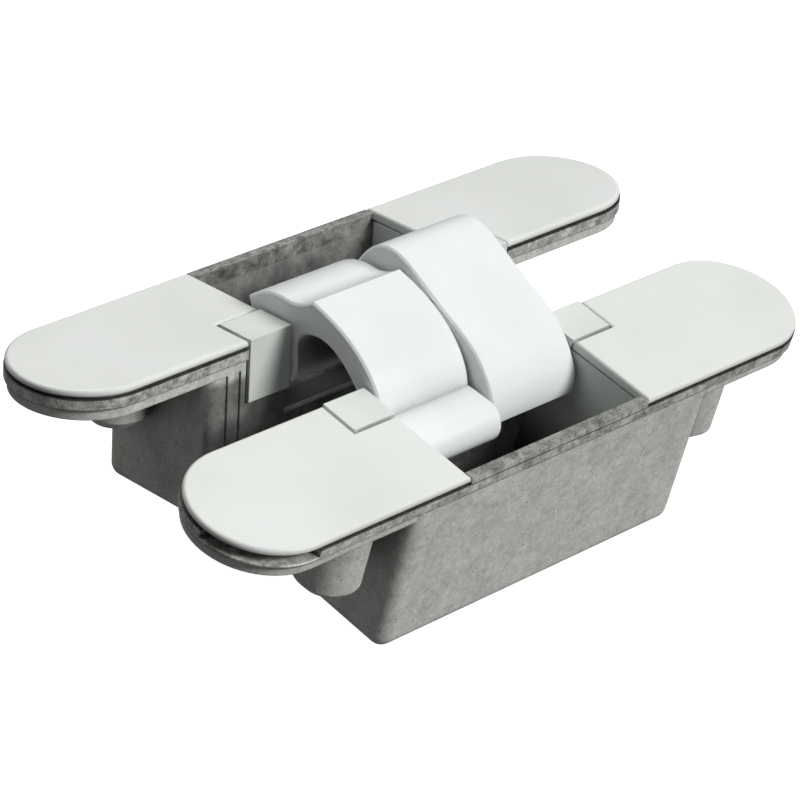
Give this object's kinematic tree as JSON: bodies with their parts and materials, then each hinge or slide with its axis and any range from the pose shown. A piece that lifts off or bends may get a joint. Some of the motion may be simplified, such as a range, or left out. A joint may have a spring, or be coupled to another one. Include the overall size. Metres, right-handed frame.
{
  "type": "concealed door hinge",
  "caption": "Concealed door hinge opened past straight: two cast bodies with round-ended capped plates, joined by side by side arched arms that fold into both bodies.",
  "frame": {"origin": "centre of the frame half's pair of fixing holes, on the plane where the screw heads seat", "axes": "+X along the plates, +Y from the door half to the frame half, +Z out of the frame half's plate"},
  "size_m": [0.118, 0.0594, 0.0434],
  "materials": {
    "cast_zinc": "raw die-cast zinc, slightly mottled",
    "carriage_paint": "pale grey-white paint, satin",
    "arm_paint": "white paint, satin",
    "cap_plastic": "moulded white plastic, fine satin",
    "pin_steel": "ground steel",
    "screw_steel": "zinc-plated steel",
    "bush_plastic": "natural nylon"
  },
  "bodies": {
    "frame_half": {"frame_housing": "cast_zinc", "frame_carriage": "carriage_paint", "frame_cap_left": "cap_plastic", "frame_cap_right": "cap_plastic", "frame_pivot_pin": "pin_steel", "frame_adjusting_screws": "screw_steel"},
    "frame_arm": {"frame_arm": "arm_paint", "frame_arm_bush": "bush_plastic", "frame_arm_slide_pin": "pin_steel", "frame_arm_roller": "bush_plastic", "crossing_pin": "pin_steel"},
    "door_arm": {"door_arm": "arm_paint", "door_arm_bush": "bush_plastic", "door_arm_slide_pin": "pin_steel", "door_arm_roller": "bush_plastic"},
    "door_half": {"door_housing": "cast_zinc", "door_carriage": "carriage_paint", "door_cap_left": "cap_plastic", "door_cap_right": "cap_plastic", "door_pivot_pin": "pin_steel", "door_adjusting_screws": "screw_steel"}
  },
  "joints": [
    {"name": "frame_pivot_turn", "type": "hinge", "parent": "frame_half", "child": "frame_arm", "pos_m": [0, -0.00825, -0.0038], "axis": [-1, 0, 0], "range_deg": [0, 110.66]},
    {"name": "arms_crossing_turn", "type": "hinge", "parent": "frame_arm", "child": "door_arm", "pos_m": [0, -0.02022, 0.00356], "axis": [1, 0, 0], "range_deg": [0, 14.86]},
    {"name": "door_pivot_turn", "type": "hinge", "parent": "door_arm", "child": "door_half", "pos_m": [0, -0.02765, -0.00836], "axis": [-1, 0, 0], "range_deg": [0, 97.5]}
  ],
  "couplings": [
    {"joint": "arms_crossing_turn", "follows": "frame_pivot_turn", "ratio": 0.13423},
    {"joint": "door_pivot_turn", "follows": "frame_pivot_turn", "ratio": 0.88102}
  ]
}
